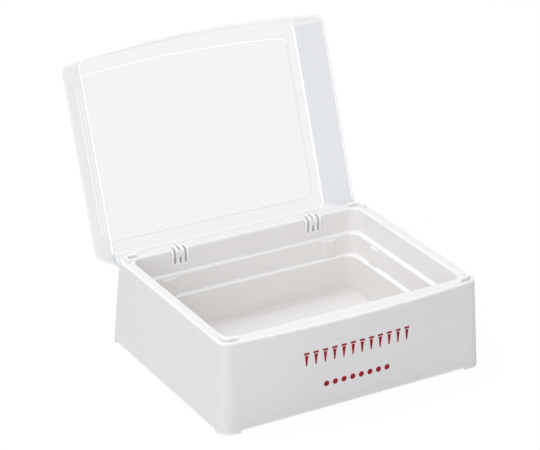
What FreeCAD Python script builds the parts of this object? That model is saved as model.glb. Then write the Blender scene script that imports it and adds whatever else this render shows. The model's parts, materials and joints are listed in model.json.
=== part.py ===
# An empty tip box: a double-walled moulded base with two rack ledges, and a clear lid that clips onto
# two short hinge bars in its back wall. The lid is written closed and then turned to its open rest place.
# Millimetres. X runs along the hinge, -Y is the front, +Z is up, and Z = 0 is the plane under the feet.
import FreeCAD, Part
import math
import os
from FreeCAD import Vector

# Overall size of the base
RIM_WIDTH = 120.0  # across the rim, along X
RIM_DEPTH = 89.4  # across the rim at its corners, along Y
BODY_HEIGHT = 38.2  # feet to rim
FRONT_BOW = 3.4  # how far the rim's front bulges past its corners
SIDE_FLARE = 1.6  # how much wider the foot of the skirt stands on each side
END_FLARE = 3.9  # the same at the front and back
RIM_CORNER = 4.8  # outer corner radius at the rim
FOOT_CORNER = 6.0  # outer corner radius at the foot
# Walls of the base
SKIRT_WALL = 1.6
TUB_WALL = 1.5
FLANGE_THICK = 1.8
FLOOR_THICK = 1.6
RIM_OUTER_ROUND = 0.6
RIM_INNER_ROUND = 0.9
# Stepped tub
RIM_BAND = 4.8  # from the rim's outer edge to the tub's mouth
TUB_CORNER = 5.0
LEDGE_WIDTH = 1.8
UPPER_LEDGE_DROP = 10.0  # below the rim
LOWER_LEDGE_DROP = 19.0
FLOOR_HEIGHT = 3.0  # top of the tub's floor above the feet
UPPER_DRAFT = 1.1  # how far each wall leans in over its height
MIDDLE_DRAFT = 0.9
LOWER_DRAFT = 0.7
LEDGE_ROUND = 0.6
FLOOR_ROUND = 1.2
# Feet
FOOT_HEIGHT = 1.0
FOOT_ALONG_FRONT = 8.5
FOOT_ALONG_SIDE = 6.0
# Ribs on the rim's corners, which locate the lid
RIB_HEIGHT = 1.5
RIB_THICK = 1.2
RIB_TOP_ROUND = 0.3
RIB_ALONG_FRONT = 8.0
RIB_ALONG_SIDE = 7.0
RIB_CLEARANCE = 0.25  # from the ribs' tops to the closed lid's wall
# Grip pads on the tub wall between the ledges
PAD_PROUD = 0.5
PAD_SLOPE = 0.8  # width of the slope along a pad's top and sides
PAD_ROOT = 0.6  # depth inside the wall
PAD_BACK_X = 39.0
PAD_BACK_WIDTH = 7.0
PAD_SIDE_Y = 20.3
PAD_SIDE_WIDTH = 6.6
PAD_BELOW_LEDGE = 1.0
# Hinge
HINGE_X = 32.5  # centre of each station from the middle
SLOT_PITCH = 2.5
SLOT_WIDTH = 1.05
SLOT_BACK_WALL = 2.4  # left behind the two outer slots
SLOT_BELOW_HOOK = 0.5
STATION_MARGIN = 1.1  # solid left beside the outer slots
STATION_BELOW_SLOT = 2.3
STATION_PROUD = 0.95  # at the rim; the leaning wall meets the station lower down
STATION_ROUND = 2.0
TONGUE_SETBACK = 0.45  # of the tongue across the upper part of the middle slot, from the station's front
TONGUE_THICK = 0.8
TONGUE_ABOVE_BAR = 0.3
TONGUE_BELOW_RIM = 0.9
TONGUE_ROOT = 0.2  # depth inside the webs on both sides
BAR_RADIUS = 0.9
BAR_SETBACK = 1.7  # from the rim's back edge
BAR_DROP = 4.0  # below the rim
HOOK_CLEARANCE = 0.08  # round the bar
HOOK_THICK = 0.9
HOOK_SIDE_GAP = 0.1  # to the slot on each side
HOOK_RUNNING_GAP = 0.15  # to the slot's rounded end
HOOK_MOUTH_DEG = 100.0
HOOK_MOUTH_REST_DEG = 225.0  # direction of the hook's mouth in the Y-Z plane when the lid is open
STOP_GAP = 0.12  # between the open hook's arm and the sill that stops it
# Lid
OPEN_DEG = 111.0
LID_INSET = 0.7  # from the rim's outer edge
LID_WALL = 1.0
LID_GAP = 0.25  # over the rim when closed
LID_DEPTH = 23.2
LID_DRAFT = 1.7
LID_TOP_CORNER = 3.8
LID_EDGE_ROUND = 2.2
PANEL_RISE = 0.6
PANEL_INSET = 8.2  # from the front and back
PANEL_SIDE_INSET = 6.8
PANEL_SLOPE = 0.8
PANEL_CORNER = 3.8

EDGE_TOL = 0.01
OVERCUT = 1.0  # how far a cut runs past the face it opens

half_w = RIM_WIDTH / 2
half_d = RIM_DEPTH / 2
rim_z = BODY_HEIGHT
bar_y = half_d - BAR_SETBACK
bar_z = rim_z - BAR_DROP
hook_bore = BAR_RADIUS + HOOK_CLEARANCE
hook_radius = hook_bore + HOOK_THICK
hook_width = SLOT_WIDTH - 2 * HOOK_SIDE_GAP
slot_foot_z = bar_z - hook_radius - SLOT_BELOW_HOOK
station_half_width = SLOT_PITCH + SLOT_WIDTH / 2 + STATION_MARGIN
station_front_y = half_d - RIM_BAND - STATION_PROUD
lid_rim_corner = RIM_CORNER - LID_INSET
rib_inset = LID_INSET + LID_WALL + LID_DRAFT * RIB_HEIGHT / LID_DEPTH + RIB_CLEARANCE


def turn(angle_deg, radius):
    """Y and Z of a point at this angle and distance, seen along the hinge."""
    angle = math.radians(angle_deg)
    return radius * math.cos(angle), radius * math.sin(angle)


def box(x0, x1, y0, y1, z0, z1):
    return Part.makeBox(x1 - x0, y1 - y0, z1 - z0, Vector(x0, y0, z0))


def outline(z, half_x, half_y, bow, corner, inset=0.0):
    """A closed wire at height z: straight sides and back, and a front that bulges by bow.

    half_x, half_y and bow give the sharp-cornered outline; inset moves every side inwards.
    """
    hx = half_x - inset
    back = half_y - inset
    cx = hx - corner
    if bow > EDGE_TOL:
        radius = (half_x**2 + bow**2) / (2 * bow)
        centre_y = radius - half_y - bow
        inner = radius - inset - corner
        cy = centre_y - math.sqrt(inner**2 - cx**2)
        scale = (radius - inset) / inner
        touch = Vector(cx * scale, centre_y + (cy - centre_y) * scale, z)
        nose = Vector(0, centre_y - radius + inset, z)
        start_angle = math.atan2(touch.y - cy, touch.x - cx)
    else:
        cy = inset + corner - half_y
        touch = Vector(cx, inset - half_y, z)
        start_angle = -math.pi / 2
    mid_angle = start_angle / 2
    mid = Vector(cx + corner * math.cos(mid_angle), cy + corner * math.sin(mid_angle), z)
    side_front = Vector(hx, cy, z)
    side_back = Vector(hx, back - corner, z)
    diagonal = corner * math.sqrt(0.5)
    back_mid = Vector(cx + diagonal, back - corner + diagonal, z)
    back_end = Vector(cx, back, z)

    def mirrored(p):
        return Vector(-p.x, p.y, p.z)

    if bow > EDGE_TOL:
        front = Part.Arc(mirrored(touch), nose, touch).toShape()
    else:
        front = Part.LineSegment(mirrored(touch), touch).toShape()
    edges = [
        front,
        Part.Arc(touch, mid, side_front).toShape(),
        Part.LineSegment(side_front, side_back).toShape(),
        Part.Arc(side_back, back_mid, back_end).toShape(),
        Part.LineSegment(back_end, mirrored(back_end)).toShape(),
        Part.Arc(mirrored(back_end), mirrored(back_mid), mirrored(side_back)).toShape(),
        Part.LineSegment(mirrored(side_back), mirrored(side_front)).toShape(),
        Part.Arc(mirrored(side_front), mirrored(mid), mirrored(touch)).toShape(),
    ]
    return Part.Wire(edges)


def loft(lower, upper):
    return Part.makeLoft([lower, upper], True, True)


def edges_at(shape, z, inside=None):
    """Edges that lie wholly at height z, kept where the test on each edge's middle holds."""
    found = []
    for edge in shape.Edges:
        ends = edge.BoundBox
        if abs(ends.ZMin - z) < EDGE_TOL and abs(ends.ZMax - z) < EDGE_TOL:
            middle = edge.valueAt((edge.FirstParameter + edge.LastParameter) / 2)
            if inside is None or inside(middle):
                found.append(edge)
    return found


def skirt_outline(z, inset=0.0):
    """The outer wall's outline at a height, between the flared foot and the rim."""
    t = z / BODY_HEIGHT
    foot = 1 - t
    corner = FOOT_CORNER * foot + RIM_CORNER * t
    return outline(
        z,
        half_w + SIDE_FLARE * foot,
        half_d + END_FLARE * foot,
        FRONT_BOW * t,
        corner - inset,
        inset,
    )


def tub_outline(z, inset, corner=TUB_CORNER):
    return outline(z, half_w, half_d, 0.0, corner, inset)


def tub_steps():
    """Height and inset at the top and foot of each of the tub's three walls, rim first."""
    upper_foot = RIM_BAND + UPPER_DRAFT
    middle_top = upper_foot + LEDGE_WIDTH
    middle_foot = middle_top + MIDDLE_DRAFT
    lower_top = middle_foot + LEDGE_WIDTH
    lower_foot = lower_top + LOWER_DRAFT
    return [
        (rim_z, RIM_BAND, rim_z - UPPER_LEDGE_DROP, upper_foot),
        (rim_z - UPPER_LEDGE_DROP, middle_top, rim_z - LOWER_LEDGE_DROP, middle_foot),
        (rim_z - LOWER_LEDGE_DROP, lower_top, FLOOR_HEIGHT, lower_foot),
    ]


def tub_space():
    """The space inside the tub, down its steps to the floor, with rounded ledges and floor."""
    steps = tub_steps()
    space = None
    for top_z, top_inset, foot_z, foot_inset in steps:
        part = loft(tub_outline(foot_z, foot_inset), tub_outline(top_z, top_inset))
        space = part if space is None else space.fuse(part)
    space = space.removeSplitter()
    space = space.makeFillet(FLOOR_ROUND, edges_at(space, FLOOR_HEIGHT))
    for top_z, top_inset, _, _ in steps[1:]:
        limit_x = half_w - top_inset + LEDGE_WIDTH / 2
        limit_y = half_d - top_inset + LEDGE_WIDTH / 2
        lip = edges_at(space, top_z, lambda p: abs(p.x) < limit_x and abs(p.y) < limit_y)
        space = space.makeFillet(LEDGE_ROUND, lip)
    return space


def tub_block():
    """The tub as a solid block, one wall thickness outside its space and one floor below it."""
    block = None
    for index, (top_z, top_inset, foot_z, foot_inset) in enumerate(tub_steps()):
        is_floor = index == 2
        under = foot_z - (FLOOR_THICK if is_floor else TUB_WALL)
        corner = TUB_CORNER + TUB_WALL
        part = loft(
            tub_outline(under, foot_inset - TUB_WALL, corner),
            tub_outline(top_z, top_inset - TUB_WALL, corner),
        )
        block = part if block is None else block.fuse(part)
    return block


def corner_ribs():
    """Low L-shaped ribs that stand on the rim at its four corners, just inside the closed lid."""
    foot_z = rim_z - FLANGE_THICK / 2
    top_z = rim_z + RIB_HEIGHT
    corner = RIM_CORNER - rib_inset
    rings = []
    for inset in (rib_inset, rib_inset + RIB_THICK):
        radius = max(corner - (inset - rib_inset), RIB_THICK / 2)
        lower = outline(foot_z, half_w, half_d, FRONT_BOW, radius, inset)
        rings.append(Part.Face(lower).extrude(Vector(0, 0, top_z - foot_z)))
    ring = rings[0].cut(rings[1])
    reach_y = half_d + FRONT_BOW
    keep = []
    for sx in (-1, 1):
        for sy in (-1, 1):
            x = sorted((sx * (half_w - RIB_ALONG_FRONT), sx * half_w))
            y = sorted((sy * (half_d - RIB_ALONG_SIDE), sy * reach_y))
            keep.append(box(x[0], x[1], y[0], y[1], foot_z, top_z))
    ribs = []
    for zone in keep:
        rib = ring.common(zone)
        top = edges_at(rib, top_z)
        ribs.append(rib.makeFillet(RIB_TOP_ROUND, top))
    return ribs


def foot_recesses():
    """Shallow cuts under the skirt between the corner feet."""
    foot_x = half_w + SIDE_FLARE
    foot_y = half_d + END_FLARE
    front_x = foot_x - FOOT_ALONG_FRONT
    side_y = foot_y - FOOT_ALONG_SIDE
    foot_x += OVERCUT
    foot_y += OVERCUT
    return [
        box(-foot_x, foot_x, -side_y, side_y, -OVERCUT, FOOT_HEIGHT),
        box(-front_x, front_x, -foot_y, foot_y, -OVERCUT, FOOT_HEIGHT),
    ]


def grip_pad(centre, width, place):
    """One pad with a sloping top and sides; place turns along, out and height into a point on its wall."""
    _, _, lower_z, _ = tub_steps()[1]
    top_z = rim_z - UPPER_LEDGE_DROP - PAD_BELOW_LEDGE
    low_z = lower_z - TUB_WALL / 2
    faces = []
    for out in (-PAD_ROOT, PAD_PROUD):
        shrink = PAD_SLOPE * out / PAD_PROUD
        half = width / 2 - shrink
        corners = [(-half, low_z), (half, low_z), (half, top_z - shrink), (-half, top_z - shrink)]
        points = [place(centre + along, out, z) for along, z in corners]
        faces.append(Part.makePolygon(points + points[:1]))
    return loft(*faces)


def grip_pads():
    """Thin pads on the back and side walls between the ledges, in line with the leaning walls."""
    top_z, top_inset, foot_z, foot_inset = tub_steps()[1]

    def inset_at(z):
        return top_inset + (foot_inset - top_inset) * (top_z - z) / (top_z - foot_z)

    def on_back(along, out, z):
        return Vector(along, half_d - inset_at(z) - out, z)

    pads = []
    for side in (-1, 1):

        def on_side(along, out, z, side=side):
            return Vector(side * (half_w - inset_at(z) - out), along, z)

        pads.append(grip_pad(side * PAD_BACK_X, PAD_BACK_WIDTH, on_back))
        pads.append(grip_pad(PAD_SIDE_Y, PAD_SIDE_WIDTH, on_side))
    return pads


def station_block(centre_x):
    """The thick pad of one hinge station, rounded over at the rim, that joins both walls."""
    front_y = station_front_y
    back_y = half_d - SKIRT_WALL / 2
    foot_z = slot_foot_z - STATION_BELOW_SLOT
    x0 = centre_x - station_half_width
    arc_y, arc_z = turn(135, STATION_ROUND)
    centre = Vector(x0, front_y + STATION_ROUND, rim_z - STATION_ROUND)
    front_top = Vector(x0, front_y, rim_z - STATION_ROUND)
    top_front = Vector(x0, front_y + STATION_ROUND, rim_z)
    corners = [
        top_front,
        Vector(x0, back_y, rim_z),
        Vector(x0, back_y, foot_z),
        Vector(x0, front_y, foot_z),
        front_top,
    ]
    edges = [Part.Arc(front_top, centre + Vector(0, arc_y, arc_z), top_front).toShape()]
    for a, b in zip(corners, corners[1:]):
        edges.append(Part.LineSegment(a, b).toShape())
    return Part.Face(Part.Wire(edges)).extrude(Vector(2 * station_half_width, 0, 0))


def station_cuts(centre_x):
    """Three upright slots; the middle one runs out through the back wall over a sloping sill."""
    front_y = station_front_y - OVERCUT
    top_z = rim_z + OVERCUT
    x0 = centre_x - SLOT_WIDTH / 2
    cuts = []
    for step in (-1, 1):
        x = x0 + step * SLOT_PITCH
        cuts.append(box(x, x + SLOT_WIDTH, front_y, half_d - SLOT_BACK_WALL, slot_foot_z, top_z))
    cuts.append(box(x0, x0 + SLOT_WIDTH, front_y, bar_y, slot_foot_z, top_z))
    # The sill runs parallel to the open hook arm's underside.
    fall = math.radians(OPEN_DEG - 90)
    under = BAR_SETBACK - LID_INSET + STOP_GAP
    reach = half_d + END_FLARE - bar_y + OVERCUT

    def sill(dy):
        return Vector(x0, bar_y + dy, bar_z - dy * math.tan(fall) - under / math.cos(fall))

    corners = [sill(0), sill(reach), Vector(x0, bar_y + reach, top_z), Vector(x0, bar_y, top_z)]
    cuts.append(Part.Face(Part.makePolygon(corners + corners[:1])).extrude(Vector(SLOT_WIDTH, 0, 0)))
    room = hook_radius + HOOK_RUNNING_GAP
    cuts.append(Part.makeCylinder(room, SLOT_WIDTH, Vector(x0, bar_y, bar_z), Vector(1, 0, 0)))
    return cuts


def station_bar(centre_x):
    """The short round bar across the middle slot, rooted in the webs on both sides."""
    start = Vector(centre_x - SLOT_PITCH / 2, bar_y, bar_z)
    return Part.makeCylinder(BAR_RADIUS, SLOT_PITCH, start, Vector(1, 0, 0))


def station_tongue(centre_x):
    """The short tongue that closes the front of the middle slot, above the bar."""
    half = SLOT_WIDTH / 2 + TONGUE_ROOT
    front_y = station_front_y + TONGUE_SETBACK
    low_z = bar_z + TONGUE_ABOVE_BAR
    top_z = rim_z - TONGUE_BELOW_RIM
    return box(centre_x - half, centre_x + half, front_y, front_y + TONGUE_THICK, low_z, top_z)


def make_base():
    foot = skirt_outline(0)
    rim = skirt_outline(rim_z)
    under_z = rim_z - FLANGE_THICK
    shell = loft(foot, rim)
    shell = shell.makeFillet(RIM_OUTER_ROUND, edges_at(shell, rim_z))
    hollow = loft(skirt_outline(0, SKIRT_WALL), skirt_outline(under_z, SKIRT_WALL))
    shell = shell.cut(hollow)
    body = shell.fuse(tub_block()).cut(tub_space())
    reach_x = half_w - RIM_BAND / 2
    reach_y = half_d - RIM_BAND / 2
    mouth = edges_at(body, rim_z, lambda p: abs(p.x) < reach_x and abs(p.y) < reach_y)
    body = body.makeFillet(RIM_INNER_ROUND, mouth)
    body = body.fuse([station_block(side * HINGE_X) for side in (-1, 1)])
    body = body.fuse(corner_ribs() + grip_pads())
    cuts = foot_recesses()
    for side in (-1, 1):
        cuts += station_cuts(side * HINGE_X)
    body = body.cut(cuts)
    for side in (-1, 1):
        body = body.fuse([station_bar(side * HINGE_X), station_tongue(side * HINGE_X)])
    return body.removeSplitter()


def lid_outline(z, inset, corner):
    return outline(z, half_w, half_d, FRONT_BOW, corner, LID_INSET + inset)


def lid_cup(inset, top_z, round_radius):
    """The lid's tapered outer or inner form, with its top edge rounded."""
    foot_z = rim_z + LID_GAP
    cup = loft(
        lid_outline(foot_z, inset, lid_rim_corner - inset),
        lid_outline(top_z, inset + LID_DRAFT, LID_TOP_CORNER - inset),
    )
    return cup.makeFillet(round_radius, edges_at(cup, top_z))


def lid_panel(top_z):
    """The slightly raised field in the middle of the top."""

    def ring(z, inset):
        half_x = half_w + PANEL_INSET - PANEL_SIDE_INSET
        return outline(z, half_x, half_d, FRONT_BOW, PANEL_CORNER, LID_INSET + inset)

    return loft(ring(top_z - LID_WALL / 2, PANEL_INSET), ring(top_z + PANEL_RISE, PANEL_INSET + PANEL_SLOPE))


def lid_hook(centre_x):
    """A C-shaped hook round the hinge bar and the arm that joins it to the lid's rear wall."""
    x0 = centre_x - hook_width / 2
    axis = Vector(1, 0, 0)
    centre = Vector(x0, bar_y, bar_z)
    ring = Part.makeCylinder(hook_radius, hook_width, centre, axis)
    back_y = half_d - LID_INSET
    arm = box(x0, x0 + hook_width, back_y - LID_WALL, back_y, bar_z, rim_z + LID_GAP + LID_WALL)
    hook = ring.fuse(arm)
    hook = hook.cut(Part.makeCylinder(hook_bore, hook_width, centre, axis))
    mouth = HOOK_MOUTH_REST_DEG + OPEN_DEG
    reach = 2 * hook_radius
    corners = [centre]
    for step in (-0.5, 0.0, 0.5):
        y, z = turn(mouth + step * HOOK_MOUTH_DEG, reach)
        corners.append(centre + Vector(0, y, z))
    wedge = Part.Face(Part.makePolygon(corners + corners[:1])).extrude(Vector(hook_width, 0, 0))
    return hook.cut(wedge)


def make_lid():
    top_z = rim_z + LID_GAP + LID_DEPTH
    outer = lid_cup(0.0, top_z, LID_EDGE_ROUND).fuse(lid_panel(top_z))
    under_z = top_z - LID_WALL
    inner = lid_cup(LID_WALL, under_z, LID_EDGE_ROUND - LID_WALL).fuse(lid_panel(under_z))
    lid = outer.cut(inner)
    lid = lid.fuse([lid_hook(side * HINGE_X) for side in (-1, 1)]).removeSplitter()
    lid.rotate(Vector(0, bar_y, bar_z), Vector(1, 0, 0), -OPEN_DEG)
    return lid


def main():
    os.makedirs("parts", exist_ok=True)
    for name, shape in (("base", make_base()), ("lid", make_lid())):
        solids = shape.Solids
        print(name, "solids", len(solids), "valid", shape.isValid(), "volume", round(shape.Volume, 1))
        shape.exportStep("parts/" + name + ".step")


main()
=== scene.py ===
"""Finishes, print marks and a studio for an empty box of pipette tips, made around its fixed frame."""

import json
import math

import bpy
from mathutils import Matrix, Vector


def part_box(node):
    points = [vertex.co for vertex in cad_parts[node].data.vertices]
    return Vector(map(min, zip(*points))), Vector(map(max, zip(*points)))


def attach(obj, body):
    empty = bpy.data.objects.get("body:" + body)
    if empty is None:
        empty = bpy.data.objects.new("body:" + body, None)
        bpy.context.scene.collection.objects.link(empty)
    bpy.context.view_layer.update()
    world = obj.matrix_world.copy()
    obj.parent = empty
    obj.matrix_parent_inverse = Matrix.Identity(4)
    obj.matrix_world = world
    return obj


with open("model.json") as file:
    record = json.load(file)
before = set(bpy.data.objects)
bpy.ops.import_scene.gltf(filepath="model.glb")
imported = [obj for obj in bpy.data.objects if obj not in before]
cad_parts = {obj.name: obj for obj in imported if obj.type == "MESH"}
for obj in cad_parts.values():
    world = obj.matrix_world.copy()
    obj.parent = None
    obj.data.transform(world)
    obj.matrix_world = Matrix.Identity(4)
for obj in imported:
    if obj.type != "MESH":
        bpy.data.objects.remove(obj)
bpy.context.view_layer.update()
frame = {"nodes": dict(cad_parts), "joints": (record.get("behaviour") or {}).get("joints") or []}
_, BASE_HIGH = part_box("base")
LID_LOW, LID_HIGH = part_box("lid")

bl_info = {
    "name": "Tip Box Finisher",
    "version": (1, 0, 0),
    "blender": (4, 5, 0),
    "location": "3D View > Sidebar > Tip Box",
    "description": "Gives an empty box of pipette tips its finishes, print marks and studio",
    "category": "Object",
}

MM = 0.001
WHITE = (1.0, 1.0, 1.0)
PLASTIC_IOR = 1.49
AIR_SAMPLES = 6
ROUND_SAMPLES = 4

# Noise patterns, in features to a metre
BASE_GLOSS_PATCHES = 90.0
BASE_RIPPLES = 70.0
LID_GLOSS_PATCHES = 60.0
LID_RIPPLES = 45.0
INK_COVER = 2500.0
INK_GLOSS_PATCHES = 900.0
PAPER_PATCHES = 12.0

RIM_HEIGHT = BASE_HIGH.z
# The heights between which the tub's ledges lie
LEDGES_TOP = RIM_HEIGHT - 8.0 * MM
LEDGES_FOOT = RIM_HEIGHT - 22.0 * MM
# How open the air is round a face, from a tight corner to an open face, for the painted shade in
# corners
CREASE_AIR = (0.4, 0.9)
# How full the plastic is behind a face, from a sharp edge to a thick wall, for the painted edge
# highlight
EDGE_FILL = (0.55, 0.95)

# The lid at rest, which is open: its axis, the way its top faces and the way its free end points
HINGE = Vector(frame["joints"][0]["pos_m"])
OPEN_ANGLE = math.radians(frame["joints"][0]["range_deg"][1])
LID_UP = Vector((0.0, math.sin(OPEN_ANGLE), math.cos(OPEN_ANGLE)))
LID_OUT = Vector((0.0, -math.cos(OPEN_ANGLE), math.sin(OPEN_ANGLE)))
# How far above the axis the cut face round its mouth lies, and where the wall over it begins
LID_MOUTH = 4.25 * MM
MOUTH_EDGE = (LID_MOUTH + 0.05 * MM, LID_MOUTH + 0.1 * MM)
# How far out from the axis the wall along the hinge ends, and how its painted shade fades up that wall
HINGE_WALL = (4.0 * MM, 6.0 * MM)
HINGE_SHADE = 0.45
HINGE_SHADE_HEIGHT = 16.0 * MM

# What one clear surface lets through, from seen square on (0) to its outline (1)
CLEAR_TINT = ((0.0, 0.961), (0.12, 0.959), (0.5, 0.952), (0.8, 0.935), (0.93, 0.92), (1.0, 0.4))
# What one polished face reflects over the same slants, and where a rounded edge's outline lies
SHINE = ((0.0, 0.03), (0.3, 0.033), (0.45, 0.05), (0.6, 0.1), (0.8, 0.33), (0.9, 0.56), (1.0, 0.93))
OUTLINE = (0.85, 0.97)

# How square a face stands to the lid's top: what counts as more than a wall, and what as flat
ROUNDED = (0.3, 0.45)
FLAT = (0.9, 0.97)
# How much a face points along the lid's length: what counts as an end wall, which gets painted shade
SIDEWAYS = (0.82, 0.99)
# How strongly a slope gets painted highlight or shade, over how square it stands to the lid's top:
# the step round the panel, and where a rounded edge begins. Flat faces and walls get none.
STEP_SLANTS = ((0.3, 0.0), (0.5, 1.0), (0.74, 1.0), (0.8, 0.0))
BEND_SLANTS = ((0.8, 0.0), (0.86, 1.0), (0.95, 1.0), (0.985, 0.0))
# Slopes that lean this way get painted highlight, and those that lean the other way painted shade
STEP_SIDE = (Vector((0.7, 0.0, 0.0)) - LID_OUT).normalized()
BEND_SIDE = (Vector((-4.5, 0.0, 0.0)) + LID_OUT).normalized()
FULL_SHADE_LEAN = -0.4
FULL_HIGHLIGHT_LEAN = 0.3
STEP_HIGHLIGHT = (1.1, 1.1, 1.09)
# Faint painted highlight lines by the panel's left edge: how far in from the lid's left end and how
# strong, how far out from the axis they begin and end, and how far from their middle they start to fade
# and are gone
SIDE_LINES = ((7.2 * MM, 1.0), (9.0 * MM, 0.5))
SIDE_LINES_BEGIN = (10.0 * MM, 13.0 * MM)
SIDE_LINES_END = (73.0 * MM, 76.0 * MM)
SIDE_LINE_HALF = (0.35 * MM, 0.75 * MM)
# How much brighter the painted highlight lines make what shows through
SIDE_HIGHLIGHT_GAIN = (1.1, 1.1, 1.095)

# The marks' settings, which are also the inputs of their node tree
PRINT_COUNTS = ("Tip Count", "Dot Count")
PRINT_SIZES = (
    "Tip Row Width",
    "Tip Row Height",
    "Tip Length",
    "Tip Width",
    "Tip End Width",
    "Collar Width",
    "Collar Length",
    "Collar Gap",
    "Dot Row Width",
    "Dot Row Height",
    "Dot Diameter",
    "Thickness",
    "Sink",
)
DOT_SIDES = 32
MERGE_REACH = 0.001 * MM
# How far in front of the box's middle the marks are thrown at it, and how far they may go
RAY_START = 1.0
RAY_LENGTH = 2.0

# Lamps: name, angle from straight in front (negative is to the left), height angle, and side in metres
LAMP_DISTANCE = 1.2
LAMPS = (
    ("front", -42.0, 20.0, 1.0),
    ("left", -114.0, 70.0, 0.8),
    ("back", 180.0, 60.0, 0.8),
)

# Where the viewer stands, and how the lens looks down on the box
CAMERA_PLACE = Vector((-0.44291, -0.72241, 0.44782))
CAMERA_YAW = 0.5373
CAMERA_PITCH = 0.43152
CAMERA_ROLL = 0.01389
CAMERA_LENS = 152.85
SENSOR_WIDTH = 36.0
NEAREST_SEEN = 0.01
FARTHEST_SEEN = 20.0


# ---------------------------------------------------------------- node helpers


def add(tree, kind, inputs=None, **settings):
    """A new node with these settings. An input takes a value, or a link from another node's socket."""
    node = tree.nodes.new(kind)
    for name, value in settings.items():
        setattr(node, name, value)
    for key, value in (inputs or {}).items():
        if isinstance(value, bpy.types.NodeSocket):
            tree.links.new(value, node.inputs[key])
        else:
            node.inputs[key].default_value = value
    return node


def arithmetic(tree, operation, first, second=0.0):
    """The result of a sum on one or two numbers."""
    return add(tree, "ShaderNodeMath", {0: first, 1: second}, operation=operation).outputs[0]


def product(tree, *values):
    """Numbers multiplied, such as masks laid over each other."""
    total = values[0]
    for value in values[1:]:
        total = arithmetic(tree, "MULTIPLY", total, value)
    return total


def vector(tree, x=0.0, y=0.0, z=0.0):
    """A vector made of three numbers."""
    return add(tree, "ShaderNodeCombineXYZ", {"X": x, "Y": y, "Z": z}).outputs["Vector"]


def part(tree, value, axis):
    """A vector's X, Y or Z."""
    return add(tree, "ShaderNodeSeparateXYZ", {"Vector": value}).outputs[axis]


def dot(tree, first, second):
    """How far one vector reaches along another."""
    node = add(tree, "ShaderNodeVectorMath", {0: first, 1: second}, operation="DOT_PRODUCT")
    return node.outputs["Value"]


def spread(tree, value, low, high, source=(0.3, 0.7)):
    """A value stretched from the source range to low and high."""
    ranged = add(
        tree,
        "ShaderNodeMapRange",
        {
            "Value": value,
            "From Min": source[0],
            "From Max": source[1],
            "To Min": low,
            "To Max": high,
        },
    )
    return ranged.outputs["Result"]


def ramp_over(tree, value, stops):
    """A grey that follows these stops, each a place and a level."""
    ramp = add(tree, "ShaderNodeValToRGB", {"Fac": value})
    elements = ramp.color_ramp.elements
    for index, (at, level) in enumerate(stops):
        element = elements[index] if index < 2 else elements.new(at)
        element.position = at
        element.color = (level, level, level, 1.0)
    return ramp.outputs["Color"]


def mixed(tree, factor, first, second, blend="MIX"):
    """Two colours mixed. Each is a plain colour, or a link from another node's socket."""
    first, second = (
        tint if isinstance(tint, bpy.types.NodeSocket) else (*tint, 1.0) for tint in (first, second)
    )
    mix = add(
        tree,
        "ShaderNodeMix",
        {0: factor, 6: first, 7: second},
        data_type="RGBA",
        blend_type=blend,
    )
    return mix.outputs[2]


def multiplied(tree, first, second):
    """Two colours multiplied."""
    return mixed(tree, 1.0, first, second, blend="MULTIPLY")


def grey_noise(tree, place, scale, detail=2.0, roughness=0.5):
    """Smooth noise between 0 and 1. Scale counts features in a metre."""
    noise = add(
        tree,
        "ShaderNodeTexNoise",
        {"Vector": place, "Scale": scale, "Detail": detail, "Roughness": roughness},
    )
    return noise.outputs["Fac"]


def bump(tree, height, distance, normal=None):
    """Relief of this height in metres, laid over another relief."""
    node = add(tree, "ShaderNodeBump", {"Height": height, "Strength": 1.0, "Distance": distance})
    if normal is not None:
        tree.links.new(normal, node.inputs["Normal"])
    return node.outputs["Normal"]


def softened(tree, radius):
    """The face's normal, turned near an edge as if the edge had this radius."""
    return add(tree, "ShaderNodeBevel", {"Radius": radius}, samples=ROUND_SAMPLES).outputs["Normal"]


def openness(tree, reach, inside=False):
    """How open the air is within reach of a face, or how full the plastic behind it, up to 1."""
    node = add(
        tree,
        "ShaderNodeAmbientOcclusion",
        {"Distance": reach},
        samples=AIR_SAMPLES,
        inside=inside,
        only_local=True,
    )
    return node.outputs["AO"]


def facing_up(tree):
    """1 on faces that look up, and 0 on walls."""
    normal = add(tree, "ShaderNodeNewGeometry").outputs["Normal"]
    return spread(tree, part(tree, normal, "Z"), 0.0, 1.0)


def own_normal(tree):
    """The face's normal in the piece's own frame, so that what reads it turns with the piece."""
    normal = add(tree, "ShaderNodeNewGeometry").outputs["Normal"]
    turned = add(
        tree,
        "ShaderNodeVectorTransform",
        {"Vector": normal},
        vector_type="NORMAL",
        convert_from="WORLD",
        convert_to="OBJECT",
    )
    return turned.outputs["Vector"]


def new_material(name):
    """An empty material with its output, and the place on the piece that patterns read."""
    material = bpy.data.materials.new(name)
    material.use_nodes = True
    tree = material.node_tree
    tree.nodes.clear()
    output = add(tree, "ShaderNodeOutputMaterial")
    place = add(tree, "ShaderNodeTexCoord").outputs["Object"]
    return material, tree, output, place


def scaled(colour, factor):
    """A plain colour made paler or darker."""
    return tuple(min(1.0, channel * factor) for channel in colour)


def put_on(thing, material):
    """Gives every material slot of a piece the same material."""
    if not thing.material_slots:
        thing.data.materials.append(material)
    for slot in thing.material_slots:
        slot.material = material


# ---------------------------------------------------------------- base


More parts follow.
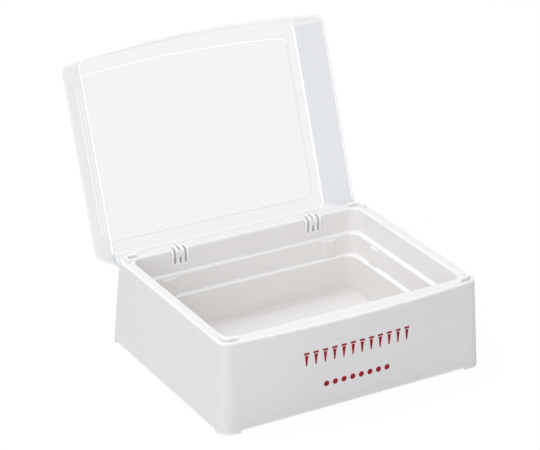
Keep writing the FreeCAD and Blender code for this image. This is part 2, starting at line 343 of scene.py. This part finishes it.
def make_white_moulding(look):
    """Satin white polypropylene: a warm tone, faint mottling, fine mould grain, softened edges, with
    painted shade in inside corners and painted highlights on edges, ribs and ledges.
    """
    material, tree, output, place = new_material("white_moulding")
    mottle = grey_noise(tree, place, look.mottle_scale, detail=3.0)
    colour = mixed(
        tree,
        spread(tree, mottle, 0.0, 1.0),
        scaled(look.colour, 1.0 - look.mottle_depth),
        scaled(look.colour, 1.0 + look.mottle_depth),
    )
    # Painted shade in inside corners, then painted highlights on edges, ribs and ledges
    colour = multiplied(tree, colour, painted_crease_shade(tree, look))
    colour = painted_edge_highlights(tree, place, colour, look)
    patches = grey_noise(tree, place, BASE_GLOSS_PATCHES)
    ripples = grey_noise(tree, place, BASE_RIPPLES, detail=1.0)
    waves = bump(tree, ripples, look.ripple_depth, softened(tree, look.edge_round))
    grain = grey_noise(tree, place, 1.0 / look.grain_size)
    shader = add(
        tree,
        "ShaderNodeBsdfPrincipled",
        {
            "Base Color": colour,
            "Roughness": spread(tree, patches, look.roughness_low, look.roughness_high),
            "Normal": bump(tree, grain, look.grain_depth, waves),
            "IOR": PLASTIC_IOR,
            "Subsurface Weight": look.glow,
            "Subsurface Radius": (1.0, 0.9, 0.8),
            "Subsurface Scale": 1.0 * MM,
        },
    )
    tree.links.new(shader.outputs["BSDF"], output.inputs["Surface"])
    return material


def painted_crease_shade(tree, look):
    """Painted shade: white on open faces and on what looks up, darker along inside corners and in
    narrow gaps.
    """
    open_air = spread(tree, openness(tree, look.crease_shade_width), 0.0, 1.0, source=CREASE_AIR)
    unshaded = arithmetic(tree, "MAXIMUM", open_air, facing_up(tree))
    return mixed(tree, unshaded, look.crease_shade_colour, WHITE)


def painted_edge_highlights(tree, place, colour, look):
    """The colour with painted highlights: paler on ledges, outside edges and thin ribs."""
    full = openness(tree, look.edge_width, inside=True)
    edges = spread(tree, full, 1.0, 0.0, source=EDGE_FILL)
    painted_ledge_highlight = product(tree, ledges(tree, place), look.ledge_highlight)
    return mixed(tree, arithmetic(tree, "MAXIMUM", edges, painted_ledge_highlight), colour, look.edge_highlight_colour)


def ledges(tree, place):
    """1 on the tub's two narrow ledges."""
    height = part(tree, place, "Z")
    below = spread(tree, height, 1.0, 0.0, source=(LEDGES_TOP, LEDGES_TOP + MM))
    above = spread(tree, height, 0.0, 1.0, source=(LEDGES_FOOT - MM, LEDGES_FOOT))
    return product(tree, facing_up(tree), below, above)


# ---------------------------------------------------------------- lid


def make_clear_moulding(look):
    """Clear stiff plastic: a trace of haze, slow ripples, a tint that grows with slant, bright rims,
    painted shade and painted highlights.
    """
    material, tree, output, place = new_material("clear_moulding")
    normal = own_normal(tree)
    ripples = grey_noise(tree, place, LID_RIPPLES, detail=1.0)
    waves = bump(tree, ripples, look.ripple_depth, softened(tree, look.edge_round))
    slant = add(tree, "ShaderNodeLayerWeight", {"Blend": 0.5, "Normal": waves}).outputs["Facing"]
    tint = clear_tint(tree, place, normal, slant, look)
    clear = add(tree, "ShaderNodeBsdfTransparent", {"Color": tint})
    patches = grey_noise(tree, place, LID_GLOSS_PATCHES, detail=3.0)
    body = add(
        tree,
        "ShaderNodeBsdfPrincipled",
        {
            "Base Color": (*look.colour, 1.0),
            "Roughness": spread(tree, patches, look.body_roughness_low, look.body_roughness_high),
            "IOR": PLASTIC_IOR,
        },
    )
    haze = spread(tree, patches, look.haze_low, look.haze_high)
    hazy = add(tree, "ShaderNodeMixShader", {0: haze, 1: clear.outputs[0], 2: body.outputs[0]})
    shine = add(
        tree,
        "ShaderNodeBsdfGlossy",
        {"Color": (*WHITE, 1.0), "Roughness": look.roughness, "Normal": waves},
    )
    polish = polished(tree, normal, slant, look)
    mirror = arithmetic(tree, "MAXIMUM", polish, rim_shine(tree, place, look))
    surface = add(tree, "ShaderNodeMixShader", {0: mirror, 1: hazy.outputs[0], 2: shine.outputs[0]})
    tree.links.new(surface.outputs[0], output.inputs["Surface"])
    return material


def polished(tree, normal, slant, look):
    """How much a polished face reflects, less along the outline of a rounded edge."""
    rounded = spread(tree, squareness(tree, normal), 0.0, 1.0, source=ROUNDED)
    outline = spread(tree, slant, 0.0, look.outline_loss, source=OUTLINE)
    kept = arithmetic(tree, "SUBTRACT", 1.0, product(tree, rounded, outline))
    return product(tree, ramp_over(tree, slant, SHINE), kept)


def clear_tint(tree, place, normal, slant, look):
    """What one surface lets through: least at its outline, with painted shade in end walls, on steps
    and by the hinge, and painted highlights on steps and by the panel's left edge.
    """
    sideways = arithmetic(tree, "ABSOLUTE", part(tree, normal, "X"))
    end_walls = spread(tree, sideways, 0.0, 1.0, source=SIDEWAYS)
    shade_left_to_right = end_to_end(tree, place, look.left_end_shade_share, 1.0)
    lean = slope_lean(tree, normal)
    # Painted shade and painted highlight, from the way a slope leans
    painted_shade = spread(tree, lean, 1.0, 0.0, source=(FULL_SHADE_LEAN, 0.0))
    painted_highlight = spread(tree, lean, 0.0, 1.0, source=(0.0, FULL_HIGHLIGHT_LEAN))
    tint = multiplied(tree, ramp_over(tree, slant, CLEAR_TINT), look.cast)
    # Painted shade on end walls, steps and by the hinge; painted highlights on steps and beside the
    # panel
    for mask, further in (
        (product(tree, end_walls, shade_left_to_right), look.end_wall_shade),
        (painted_shade, look.painted_step_shade),
        (painted_highlight, STEP_HIGHLIGHT),
        (painted_side_highlights(tree, place, normal), SIDE_HIGHLIGHT_GAIN),
        (hinge_shade(tree, place), look.hinge_shade_tint),
    ):
        tint = multiplied(tree, tint, mixed(tree, mask, WHITE, further))
    return tint


def squareness(tree, normal):
    """How square a face stands to the lid's top: 1 on flat faces and 0 on walls."""
    return arithmetic(tree, "ABSOLUTE", dot(tree, normal, LID_UP))


def slope_lean(tree, normal):
    """How far the panel's step and the rounded edges lean to the side given painted highlight, and 0
    elsewhere.
    """
    square = squareness(tree, normal)
    total = 0.0
    for slants, side in ((STEP_SLANTS, STEP_SIDE), (BEND_SLANTS, BEND_SIDE)):
        marked = product(tree, dot(tree, normal, side), ramp_over(tree, square, slants))
        total = arithmetic(tree, "ADD", marked, total)
    return total


def painted_side_highlights(tree, place, normal):
    """Where the faint painted highlight lines beside the panel's left edge run, and how strong they
    are.
    """
    along = part(tree, place, "X")
    lines = 0.0
    for inset, strength in SIDE_LINES:
        off = arithmetic(tree, "ABSOLUTE", arithmetic(tree, "SUBTRACT", along, LID_LOW.x + inset))
        line = spread(tree, off, strength, 0.0, source=SIDE_LINE_HALF)
        lines = arithmetic(tree, "ADD", line, lines)
    out = from_hinge(tree, place, LID_OUT)
    begun = spread(tree, out, 0.0, 1.0, source=SIDE_LINES_BEGIN)
    going_on = spread(tree, out, 1.0, 0.0, source=SIDE_LINES_END)
    flat = spread(tree, squareness(tree, normal), 0.0, 1.0, source=FLAT)
    return product(tree, lines, begun, going_on, flat)


def end_to_end(tree, place, left, right):
    """A value that goes from the lid's left end to its right end."""
    return spread(tree, part(tree, place, "X"), left, right, source=(LID_LOW.x, LID_HIGH.x))


def from_hinge(tree, place, axis):
    """How far a place lies from the hinge along an axis."""
    offset = add(tree, "ShaderNodeVectorMath", {0: place, 1: HINGE}, operation="SUBTRACT")
    return dot(tree, offset.outputs["Vector"], axis)


def rim_mask(tree, place):
    """1 on the cut face round the lid's mouth, and 0 above it."""
    return spread(tree, from_hinge(tree, place, LID_UP), 1.0, 0.0, source=MOUTH_EDGE)


def near_hinge(tree, place):
    """1 on the wall along the hinge, with its cut face."""
    return spread(tree, from_hinge(tree, place, LID_OUT), 1.0, 0.0, source=HINGE_WALL)


def hinge_shade(tree, place):
    """How much painted shade the wall along the hinge gets: most on its cut face, fading up the wall.
    """
    fade = (LID_MOUTH, LID_MOUTH + HINGE_SHADE_HEIGHT)
    wall = spread(tree, from_hinge(tree, place, LID_UP), HINGE_SHADE, 0.0, source=fade)
    shade = arithmetic(tree, "MAXIMUM", rim_mask(tree, place), wall)
    return product(tree, shade, near_hinge(tree, place))


def rim_shine(tree, place, look):
    """How much the cut face reflects: most at the left end, less at the right, none by the hinge."""
    level = end_to_end(tree, place, look.rim_shine, look.rim_shine_right)
    away = arithmetic(tree, "SUBTRACT", 1.0, near_hinge(tree, place))
    return product(tree, rim_mask(tree, place), away, level)


# ---------------------------------------------------------------- print marks


def make_red_print(look):
    """Pad-printed red ink, a little uneven in its cover, with a soft sheen."""
    material, tree, output, place = new_material("red_print")
    cover = grey_noise(tree, place, INK_COVER, detail=3.0, roughness=0.6)
    thin_cover = scaled(look.colour, 1.0 + look.unevenness)
    gloss = grey_noise(tree, place, INK_GLOSS_PATCHES)
    shader = add(
        tree,
        "ShaderNodeBsdfPrincipled",
        {
            "Base Color": mixed(tree, spread(tree, cover, 0.0, 1.0), look.colour, thin_cover),
            "Roughness": spread(tree, gloss, look.roughness_low, look.roughness_high),
            "Normal": bump(tree, cover, look.relief),
            "Specular IOR Level": look.sheen,
        },
    )
    tree.links.new(shader.outputs["BSDF"], output.inputs["Surface"])
    return material


def new_geometry_tree(name, sockets):
    """An empty Geometry Nodes tree with a geometry in and out and these named inputs."""
    tree = bpy.data.node_groups.new(name, "GeometryNodeTree")
    tree.interface.new_socket("Geometry", in_out="INPUT", socket_type="NodeSocketGeometry")
    for label, kind in sockets:
        tree.interface.new_socket(label, in_out="INPUT", socket_type=kind)
    tree.interface.new_socket("Geometry", in_out="OUTPUT", socket_type="NodeSocketGeometry")
    return tree


def set_inputs(modifier, tree, values):
    """Sets a Geometry Nodes modifier's inputs by each socket's identifier."""
    for item in tree.interface.items_tree:
        if item.in_out == "INPUT" and item.name in values:
            modifier[item.identifier] = values[item.name]


def mark_row(tree, outline, count, width, height):
    """A flat outline filled, stood up to face the front, and repeated along a row."""
    flat = add(tree, "GeometryNodeFillCurve", {"Curve": outline}, mode="NGONS").outputs["Mesh"]
    upright = add(
        tree,
        "GeometryNodeTransform",
        {"Geometry": flat, "Rotation": (math.pi / 2, 0.0, 0.0)},
    ).outputs["Geometry"]
    half = arithmetic(tree, "DIVIDE", width, 2.0)
    start = vector(tree, x=product(tree, half, -1.0), z=height)
    pitch = arithmetic(tree, "DIVIDE", width, arithmetic(tree, "SUBTRACT", count, 1.0))
    row = add(
        tree,
        "GeometryNodeMeshLine",
        {"Count": count, "Start Location": start, "Offset": vector(tree, x=pitch)},
        mode="OFFSET",
    ).outputs["Mesh"]
    placed = add(tree, "GeometryNodeInstanceOnPoints", {"Points": row, "Instance": upright})
    return placed.outputs["Instances"]


def print_tree():
    """Tip marks and dots in two rows, given the ink's thickness and laid on the base's front."""
    sockets = [("Front", "NodeSocketObject"), ("Ink", "NodeSocketMaterial")]
    sockets += [(label, "NodeSocketInt") for label in PRINT_COUNTS]
    sockets += [(label, "NodeSocketFloat") for label in PRINT_SIZES]
    tree = new_geometry_tree("print_marks", sockets)
    given = add(tree, "NodeGroupInput").outputs
    flat = flat_marks(tree, given)
    laid = laid_on_front(tree, given, raised_marks(tree, flat, given["Thickness"]))
    inked = add(tree, "GeometryNodeSetMaterial", {"Geometry": laid, "Material": given["Ink"]})
    result = add(tree, "NodeGroupOutput")
    tree.links.new(inked.outputs["Geometry"], result.inputs["Geometry"])
    return tree


def flat_marks(tree, given):
    """The rows of marks as flat faces: tapered tips, the bars over them, and dots."""
    body = add(
        tree,
        "GeometryNodeCurvePrimitiveQuadrilateral",
        {
            "Height": given["Tip Length"],
            "Bottom Width": given["Tip End Width"],
            "Top Width": given["Tip Width"],
            "Offset": 0.0,
        },
        mode="TRAPEZOID",
    ).outputs["Curve"]
    collar = add(
        tree,
        "GeometryNodeCurvePrimitiveQuadrilateral",
        {"Width": given["Collar Width"], "Height": given["Collar Length"]},
        mode="RECTANGLE",
    ).outputs["Curve"]
    disc = add(
        tree,
        "GeometryNodeCurvePrimitiveCircle",
        {"Resolution": DOT_SIDES, "Radius": arithmetic(tree, "DIVIDE", given["Dot Diameter"], 2.0)},
        mode="RADIUS",
    ).outputs["Curve"]
    lengths = arithmetic(tree, "ADD", given["Tip Length"], given["Collar Length"])
    rise = arithmetic(tree, "ADD", arithmetic(tree, "DIVIDE", lengths, 2.0), given["Collar Gap"])
    collar_height = arithmetic(tree, "ADD", given["Tip Row Height"], rise)
    rows = [
        mark_row(tree, body, given["Tip Count"], given["Tip Row Width"], given["Tip Row Height"]),
        mark_row(tree, collar, given["Tip Count"], given["Tip Row Width"], collar_height),
        mark_row(tree, disc, given["Dot Count"], given["Dot Row Width"], given["Dot Row Height"]),
    ]
    joined = add(tree, "GeometryNodeJoinGeometry")
    for row in rows:
        tree.links.new(row, joined.inputs["Geometry"])
    real = add(tree, "GeometryNodeRealizeInstances", {"Geometry": joined.outputs["Geometry"]})
    return real.outputs["Geometry"]


def raised_marks(tree, flat, thickness):
    """Flat faces made closed solids of this thickness."""
    raised = add(
        tree,
        "GeometryNodeExtrudeMesh",
        {"Mesh": flat, "Offset Scale": thickness, "Individual": False},
        mode="FACES",
    ).outputs["Mesh"]
    back = add(tree, "GeometryNodeFlipFaces", {"Mesh": flat}).outputs["Mesh"]
    closed = add(tree, "GeometryNodeJoinGeometry")
    tree.links.new(raised, closed.inputs["Geometry"])
    tree.links.new(back, closed.inputs["Geometry"])
    merged = add(
        tree,
        "GeometryNodeMergeByDistance",
        {"Geometry": closed.outputs["Geometry"], "Distance": MERGE_REACH},
    )
    return merged.outputs["Geometry"]


def laid_on_front(tree, given, marks):
    """Marks moved onto the base's front, with their backs sunk a little under its surface."""
    here = add(tree, "GeometryNodeInputPosition").outputs["Position"]
    before_front = vector(tree, x=part(tree, here, "X"), y=-RAY_START, z=part(tree, here, "Z"))
    front = add(tree, "GeometryNodeObjectInfo", {"Object": given["Front"]}).outputs["Geometry"]
    hit = add(
        tree,
        "GeometryNodeRaycast",
        {
            "Target Geometry": front,
            "Source Position": before_front,
            "Ray Direction": (0.0, 1.0, 0.0),
            "Ray Length": RAY_LENGTH,
        },
    )
    proud = arithmetic(tree, "SUBTRACT", product(tree, part(tree, here, "Y"), -1.0), given["Sink"])
    outwards = add(
        tree,
        "ShaderNodeVectorMath",
        {0: hit.outputs["Hit Normal"], "Scale": proud},
        operation="SCALE",
    ).outputs["Vector"]
    landed = add(
        tree,
        "ShaderNodeVectorMath",
        {0: hit.outputs["Hit Position"], 1: outwards},
        operation="ADD",
    ).outputs["Vector"]
    laid = add(tree, "GeometryNodeSetPosition", {"Geometry": marks, "Position": landed})
    return laid.outputs["Geometry"]


def solid_from_tree(name, tree, values, material):
    """The plain mesh object that a Geometry Nodes tree makes with these inputs."""
    maker = bpy.data.objects.new(name + "_maker", bpy.data.meshes.new(name + "_maker"))
    bpy.context.scene.collection.objects.link(maker)
    modifier = maker.modifiers.new("maker", "NODES")
    modifier.node_group = tree
    set_inputs(modifier, tree, values)
    bpy.context.view_layer.update()
    graph = bpy.context.evaluated_depsgraph_get()
    mesh = bpy.data.meshes.new_from_object(maker.evaluated_get(graph))
    if not mesh.polygons:
        raise RuntimeError(name + " came out empty")
    mesh.name = name
    maker_mesh = maker.data
    bpy.data.objects.remove(maker)
    bpy.data.meshes.remove(maker_mesh)
    piece = bpy.data.objects.new(name, mesh)
    bpy.context.scene.collection.objects.link(piece)
    put_on(piece, material)
    return piece


# ---------------------------------------------------------------- studio


def aim(thing, place, target):
    """Stands a lamp at a place and points it at the target."""
    direction = (target - place).normalized()
    turn = direction.to_track_quat("-Z", "Y").to_matrix().to_4x4()
    thing.matrix_world = Matrix.Translation(place) @ turn


def softbox(name, azimuth, elevation, side, power, colour, target):
    """A soft square lamp. Azimuth 0 is straight in front, and negative is to the left."""
    lamp = bpy.data.lights.new(name, "AREA")
    lamp.shape = "RECTANGLE"
    lamp.size, lamp.size_y = side, side
    lamp.energy = power
    lamp.color = colour
    thing = bpy.data.objects.new(name, lamp)
    bpy.context.scene.collection.objects.link(thing)
    a = math.radians(azimuth)
    e = math.radians(elevation)
    offset = Vector((math.sin(a) * math.cos(e), -math.cos(a) * math.cos(e), math.sin(e)))
    aim(thing, target + offset * LAMP_DISTANCE, target)


def seen_directly(tree):
    """1 for rays from the camera, a mirror-like surface or clear plastic, else 0."""
    rays = add(tree, "ShaderNodeLightPath").outputs
    either = arithmetic(tree, "MAXIMUM", rays["Is Camera Ray"], rays["Is Glossy Ray"])
    return arithmetic(tree, "MAXIMUM", either, rays["Is Transmission Ray"])


def make_world(stage):
    """Light from all round, with plain white behind everything."""
    world = bpy.data.worlds.new("studio_air")
    world.use_nodes = True
    tree = world.node_tree
    tree.nodes.clear()
    room_colour = (*stage.light_colour, 1.0)
    room = add(tree, "ShaderNodeBackground", {"Color": room_colour, "Strength": stage.room_light})
    white = add(tree, "ShaderNodeBackground", {"Color": (*WHITE, 1.0), "Strength": 1.0})
    directly = seen_directly(tree)
    mix = add(tree, "ShaderNodeMixShader", {0: directly, 1: room.outputs[0], 2: white.outputs[0]})
    output = add(tree, "ShaderNodeOutputWorld")
    tree.links.new(mix.outputs[0], output.inputs["Surface"])
    bpy.context.scene.world = world


def make_floor(stage):
    """A wide pale floor that shows white and keeps a trace of the box's shadow."""
    material, tree, output, place = new_material("floor_paper")
    patches = spread(tree, grey_noise(tree, place, PAPER_PATCHES), 0.0, 1.0)
    tone = (stage.floor_tone,) * 3
    darker = scaled(tone, 1.0 - stage.floor_mottle)
    paler = scaled(tone, 1.0 + stage.floor_mottle)
    paper = add(tree, "ShaderNodeBsdfDiffuse", {"Color": mixed(tree, patches, darker, paler)})
    white = add(tree, "ShaderNodeEmission", {"Color": (*WHITE, 1.0), "Strength": stage.floor_glow})
    whiteness = product(tree, seen_directly(tree), stage.floor_white)
    mix = add(tree, "ShaderNodeMixShader", {0: whiteness, 1: paper.outputs[0], 2: white.outputs[0]})
    tree.links.new(mix.outputs[0], output.inputs["Surface"])
    half = stage.floor_size / 2
    mesh = bpy.data.meshes.new("floor")
    corners = [(-half, -half, 0.0), (half, -half, 0.0), (half, half, 0.0), (-half, half, 0.0)]
    mesh.from_pydata(corners, [], [(0, 1, 2, 3)])
    floor = bpy.data.objects.new("floor", mesh)
    bpy.context.scene.collection.objects.link(floor)
    put_on(floor, material)


def make_camera():
    """A camera that looks down on the box from the left front, rolled a little."""
    yaw, pitch, roll = CAMERA_YAW, CAMERA_PITCH, CAMERA_ROLL
    level = Vector((math.sin(yaw), math.cos(yaw), 0.0))
    forward = level * math.cos(pitch) - Vector((0.0, 0.0, math.sin(pitch)))
    right = Vector((math.cos(yaw), -math.sin(yaw), 0.0))
    up = right.cross(forward)
    side = right * math.cos(roll) + up * math.sin(roll)
    top = up * math.cos(roll) - right * math.sin(roll)
    data = bpy.data.cameras.new("camera")
    data.lens = CAMERA_LENS
    data.sensor_width = SENSOR_WIDTH
    data.clip_start = NEAREST_SEEN
    data.clip_end = FARTHEST_SEEN
    camera = bpy.data.objects.new("camera", data)
    bpy.context.scene.collection.objects.link(camera)
    turn = Matrix((side, top, -forward)).transposed().to_4x4()
    camera.matrix_world = Matrix.Translation(CAMERA_PLACE) @ turn
    bpy.context.scene.camera = camera


# ---------------------------------------------------------------- settings


def size(name, description, default, low=0.0, high=1.0):
    """A setting in metres."""
    return bpy.props.FloatProperty(
        name=name,
        description=description,
        default=default,
        min=low,
        max=high,
        precision=5,
        subtype="DISTANCE",
        unit="LENGTH",
    )


def share(name, description, default):
    """A setting between 0 and 1."""
    return bpy.props.FloatProperty(
        name=name, description=description, default=default, min=0.0, max=1.0, subtype="FACTOR"
    )


def number(name, description, default):
    """A setting that is a plain number."""
    return bpy.props.FloatProperty(name=name, description=description, default=default, min=0.0)


def count(name, description, default):
    """A setting that counts the marks in a row."""
    return bpy.props.IntProperty(name=name, description=description, default=default, min=2)


def colour(name, description, default):
    """A colour setting."""
    return bpy.props.FloatVectorProperty(
        name=name,
        description=description,
        default=default,
        size=3,
        min=0.0,
        max=1.0,
        subtype="COLOR",
    )


class TIPBOX_PG_base(bpy.types.PropertyGroup):
    """The white base's finish."""

    colour: colour("Colour", "Colour of the white plastic", (0.84, 0.815, 0.782))
    # Painted shade along inside corners and narrow gaps
    crease_shade_colour: colour("Crease tint", "Tint of corners and narrow gaps", (0.78, 0.765, 0.745))
    crease_shade_width: size("Crease width", "How far the darker tint of an inside corner reaches", 0.001)
    # Painted highlight on outside edges, thin ribs and ledges
    edge_highlight_colour: colour("Edge colour", "Colour of edges, ribs and ledges", (0.99, 0.975, 0.95))
    edge_width: size("Edge width", "How far the paler tone of an outside edge reaches", 0.0012)
    ledge_highlight: share("Ledge light", "How much of the paler tone the tub's ledges have", 0.6)
    mottle_depth: share("Mottling", "How much the tone varies", 0.008)
    mottle_scale: number("Mottling scale", "Tone patches in a metre", 35.0)
    roughness_low: share("Roughness low", "Roughness of the shiniest patches", 0.32)
    roughness_high: share("Roughness high", "Roughness of the dullest patches", 0.42)
    edge_round: size("Edge round", "Radius that softens sharp edges", 0.0003)
    ripple_depth: size("Ripple depth", "Height of the slow waves in its faces", 0.00002)
    grain_size: size("Grain size", "Size of the mould's grain", 0.00025, 0.00001)
    grain_depth: size("Grain depth", "Height of the mould's grain", 0.000006)
    glow: share("Glow", "How much light enters the plastic", 0.1)


class TIPBOX_PG_lid(bpy.types.PropertyGroup):
    """The clear lid's finish."""

    colour: colour("Colour", "Colour of the haze in the plastic", (0.92, 0.94, 0.96))
    # Painted shade on the lid's end walls, stronger at the right end
    end_wall_shade: colour("Wall tint", "Further tint of the lid's end walls", (0.925, 0.93, 0.94))
    left_end_shade_share: share("Wall evenness", "Left end wall's share of the right one's tint", 0.12)
    # Painted shade on slopes that lean one way
    painted_step_shade: colour("Step tint", "Tint of a slope that leans from the light", (0.92, 0.93, 0.94))
    haze_low: share("Haze low", "Haze of the clearest patches", 0.02)
    haze_high: share("Haze high", "Haze of the dullest patches", 0.04)
    body_roughness_low: share("Body roughness low", "Roughness under the shiniest patches", 0.2)
    body_roughness_high: share("Body roughness high", "Roughness under the dullest patches", 0.3)
    roughness: share("Roughness", "Roughness of the polished faces", 0.12)
    cast: colour("Cast", "Tint of one clear surface", (0.994, 0.998, 1.0))
    outline_loss: share("Outline loss", "Reflection that a rounded edge's outline loses", 0.85)
    ripple_depth: size("Ripple depth", "Height of the slow waves in its faces", 0.00002)
    edge_round: size("Edge round", "Width of the line along each edge", 0.0005)
    rim_shine: share("Rim shine", "Reflection of the mouth's cut face at its left end", 0.8)
    rim_shine_right: share("Rim shine right", "Reflection of the cut face at its right end", 0.4)
    # Painted shade on the cut face and wall by the hinge
    hinge_shade_tint: colour("Rim tint", "Further tint of the cut face by the hinge", (0.88, 0.89, 0.9))


class TIPBOX_PG_print(bpy.types.PropertyGroup):
    """The printed marks on the front."""

    colour: colour("Ink", "Colour of the ink", (0.29, 0.004, 0.01))
    unevenness: share("Unevenness", "How much paler the ink is where it is thin", 0.25)
    roughness_low: share("Roughness low", "Roughness of the shiniest patches", 0.38)
    roughness_high: share("Roughness high", "Roughness of the dullest patches", 0.52)
    relief: size("Relief", "Height of the ink's fine relief", 0.000004)
    sheen: share("Sheen", "How strongly the ink reflects", 0.2)
    tip_count: count("Tip marks", "Marks in the upper row", 12)
    tip_row_width: size("Upper row width", "From the first mark's middle to the last's", 0.047)
    tip_row_height: size("Upper row height", "Middle of the tapered marks over the ground", 0.0237)
    tip_length: size("Tip length", "Length of a tapered mark", 0.0046)
    tip_width: size("Tip width", "Width of a tapered mark at its top", 0.0016)
    tip_end_width: size("Tip end width", "Width of a tapered mark at its foot", 0.0005)
    collar_width: size("Collar width", "Width of the bar over each mark", 0.0024)
    collar_length: size("Collar height", "Height of the bar over each mark", 0.0009)
    collar_gap: size("Collar gap", "From a mark to its bar", 0.0003)
    dot_count: count("Dots", "Dots in the lower row", 8)
    dot_row_width: size("Lower row width", "From the first dot's middle to the last's", 0.0285)
    dot_row_height: size("Lower row height", "Middle of the dots over the ground", 0.0115)
    dot_diameter: size("Dot diameter", "Size of a dot", 0.0024)
    thickness: size("Thickness", "Thickness of a mark, with its sunk back", 0.00006)
    sink: size("Sink", "How deep a mark's back lies under the surface", 0.00003)


class TIPBOX_PG_stage(bpy.types.PropertyGroup):
    """Floor, lamps and background."""

    floor_size: size("Floor size", "Side of the floor", 6.0, 1.0, 20.0)
    floor_white: share("Floor white", "How far the floor's shadow fades into white", 0.93)
    light_colour: colour("Light colour", "Colour of the lamps and the room", (0.922, 0.945, 1.0))
    floor_tone: share("Floor tone", "How pale the floor's paper is", 0.6)
    floor_mottle: share("Floor mottling", "How much the paper's tone varies", 0.01)
    floor_glow: number("Floor glow", "Strength of the white that the floor shows", 1.03)
    room_light: number("Room light", "Strength of the light from all round", 0.592)
    front_power: number("Front power", "Power of the low lamp at the left front, in watts", 5.4)
    left_power: number("Left power", "Power of the lamp high at the left, in watts", 4.4)
    back_power: number("Back power", "Power of the lamp high at the back, in watts", 3.9)


# ---------------------------------------------------------------- operators


class TIPBOX_OT_finish_base(bpy.types.Operator):
    """Gives the base its white satin finish."""

    bl_idname = "tipbox.finish_base"
    bl_label = "Finish Base"

    def execute(self, context):
        put_on(frame["nodes"]["base"], make_white_moulding(context.scene.tipbox_base))
        return {"FINISHED"}


class TIPBOX_OT_finish_lid(bpy.types.Operator):
    """Gives the lid its clear finish."""

    bl_idname = "tipbox.finish_lid"
    bl_label = "Finish Lid"

    def execute(self, context):
        put_on(frame["nodes"]["lid"], make_clear_moulding(context.scene.tipbox_lid))
        return {"FINISHED"}


class TIPBOX_OT_print_marks(bpy.types.Operator):
    """Prints a row of tip marks and a row of dots on the base's front."""

    bl_idname = "tipbox.print_marks"
    bl_label = "Print Marks"

    def execute(self, context):
        look = context.scene.tipbox_print
        ink = make_red_print(look)
        values = {"Front": frame["nodes"]["base"], "Ink": ink}
        for label in PRINT_COUNTS + PRINT_SIZES:
            values[label] = getattr(look, label.lower().replace(" ", "_"))
        marks = solid_from_tree("print_marks", print_tree(), values, ink)
        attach(marks, "base")
        return {"FINISHED"}


class TIPBOX_OT_build_stage(bpy.types.Operator):
    """Sets the floor, the lamps, the background and the camera."""

    bl_idname = "tipbox.build_stage"
    bl_label = "Build Stage"

    def execute(self, context):
        stage = context.scene.tipbox_stage
        context.scene.view_settings.view_transform = "Standard"
        middle = Vector((0.0, 0.0, RIM_HEIGHT))
        make_world(stage)
        make_floor(stage)
        tone = tuple(stage.light_colour)
        for name, azimuth, elevation, side in LAMPS:
            power = getattr(stage, name + "_power")
            softbox(name + "_lamp", azimuth, elevation, side, power, tone, middle)
        make_camera()
        return {"FINISHED"}


class TIPBOX_PT_panel(bpy.types.Panel):
    """Lists the box's steps and their settings."""

    bl_idname = "TIPBOX_PT_panel"
    bl_label = "Tip Box"
    bl_space_type = "VIEW_3D"
    bl_region_type = "UI"
    bl_category = "Tip Box"

    def draw(self, context):
        for operator, group, prefix in STEPS:
            box = self.layout.box()
            box.operator(operator.bl_idname)
            settings = getattr(context.scene, prefix)
            for name in group.__annotations__:
                box.prop(settings, name)


STEPS = (
    (TIPBOX_OT_finish_base, TIPBOX_PG_base, "tipbox_base"),
    (TIPBOX_OT_finish_lid, TIPBOX_PG_lid, "tipbox_lid"),
    (TIPBOX_OT_print_marks, TIPBOX_PG_print, "tipbox_print"),
    (TIPBOX_OT_build_stage, TIPBOX_PG_stage, "tipbox_stage"),
)


def register():
    for operator, group, prefix in STEPS:
        bpy.utils.register_class(group)
        bpy.utils.register_class(operator)
        setattr(bpy.types.Scene, prefix, bpy.props.PointerProperty(type=group))
    bpy.utils.register_class(TIPBOX_PT_panel)


def unregister():
    bpy.utils.unregister_class(TIPBOX_PT_panel)
    for operator, group, prefix in reversed(STEPS):
        delattr(bpy.types.Scene, prefix)
        bpy.utils.unregister_class(operator)
        bpy.utils.unregister_class(group)


def main():
    register()
    bpy.ops.tipbox.finish_base()
    bpy.ops.tipbox.finish_lid()
    bpy.ops.tipbox.print_marks()
    bpy.ops.tipbox.build_stage()


if __name__ == "__main__":
    main()
